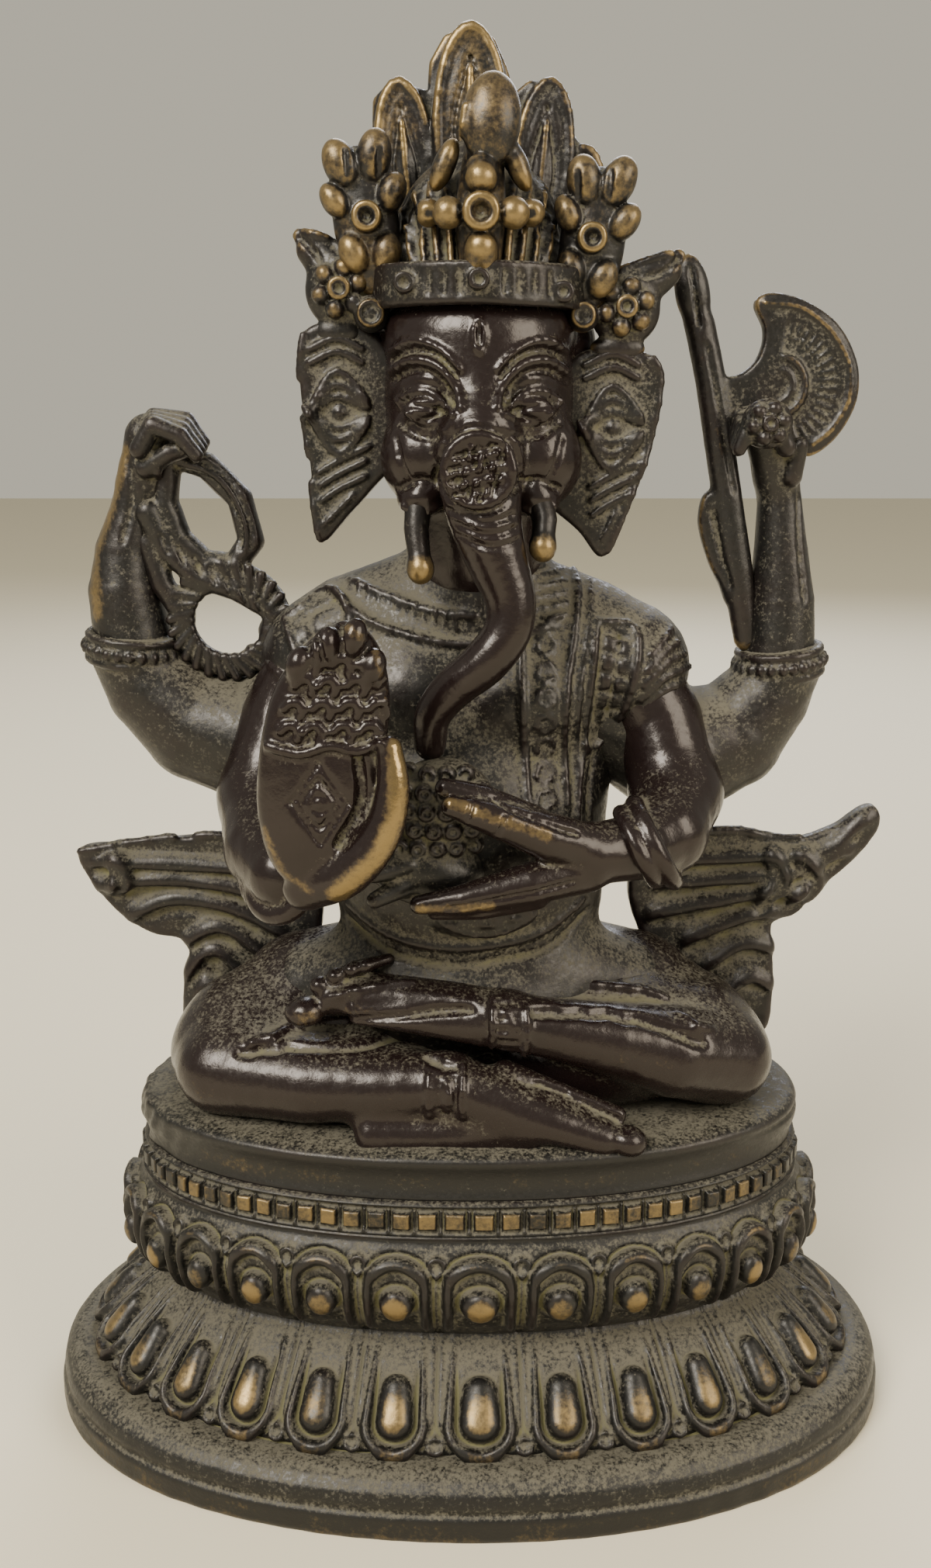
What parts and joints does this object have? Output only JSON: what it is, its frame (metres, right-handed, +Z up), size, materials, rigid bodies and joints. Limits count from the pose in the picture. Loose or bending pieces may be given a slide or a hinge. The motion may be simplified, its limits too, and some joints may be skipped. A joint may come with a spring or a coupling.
{
  "type": "seated deity statuette",
  "caption": "Patinated cast bronze statuette: four-armed elephant-headed figure seated cross-legged on an oval double lotus base.",
  "frame": {"origin": "centre of the face that the base rests on", "axes": "+Z up, -Y towards the figure's front, +X towards the figure's left"},
  "size_m": [0.09, 0.058, 0.1398],
  "materials": {
    "patinated_bronze": "dark chemical patina, polished brown on high places, dusty green in the hollows",
    "copper_sheet": "dull hammered sheet",
    "brass_rod": "drawn rod, unfinished"
  },
  "bodies": {
    "root": {"foot_ring": "patinated_bronze", "lower_lotus": "patinated_bronze", "upper_lotus": "patinated_bronze", "bead_rim": "patinated_bronze", "seat_pad": "patinated_bronze", "right_leg": "patinated_bronze", "left_leg": "patinated_bronze", "torso": "patinated_bronze", "head": "patinated_bronze", "right_ear": "patinated_bronze", "left_ear": "patinated_bronze", "right_tusk": "patinated_bronze", "left_tusk": "patinated_bronze", "crown_band": "patinated_bronze", "crown_cap": "patinated_bronze", "crown_fan": "patinated_bronze", "front_plaque": "patinated_bronze", "right_plaque": "patinated_bronze", "left_plaque": "patinated_bronze", "right_ear_rosette": "patinated_bronze", "left_ear_rosette": "patinated_bronze", "rear_right_arm": "patinated_bronze", "rear_right_forearm": "patinated_bronze", "rear_left_arm": "patinated_bronze", "rear_left_forearm": "patinated_bronze", "front_right_arm": "patinated_bronze", "front_right_hand": "patinated_bronze", "front_left_arm": "patinated_bronze", "front_left_hand": "patinated_bronze", "noose": "patinated_bronze", "axe": "patinated_bronze", "sweets_bowl": "patinated_bronze", "right_scarf_end": "patinated_bronze", "left_scarf_end": "patinated_bronze", "base_plate": "copper_sheet", "joining_pins": "brass_rod", "seat_tangs": "brass_rod"}
  },
  "joints": []
}
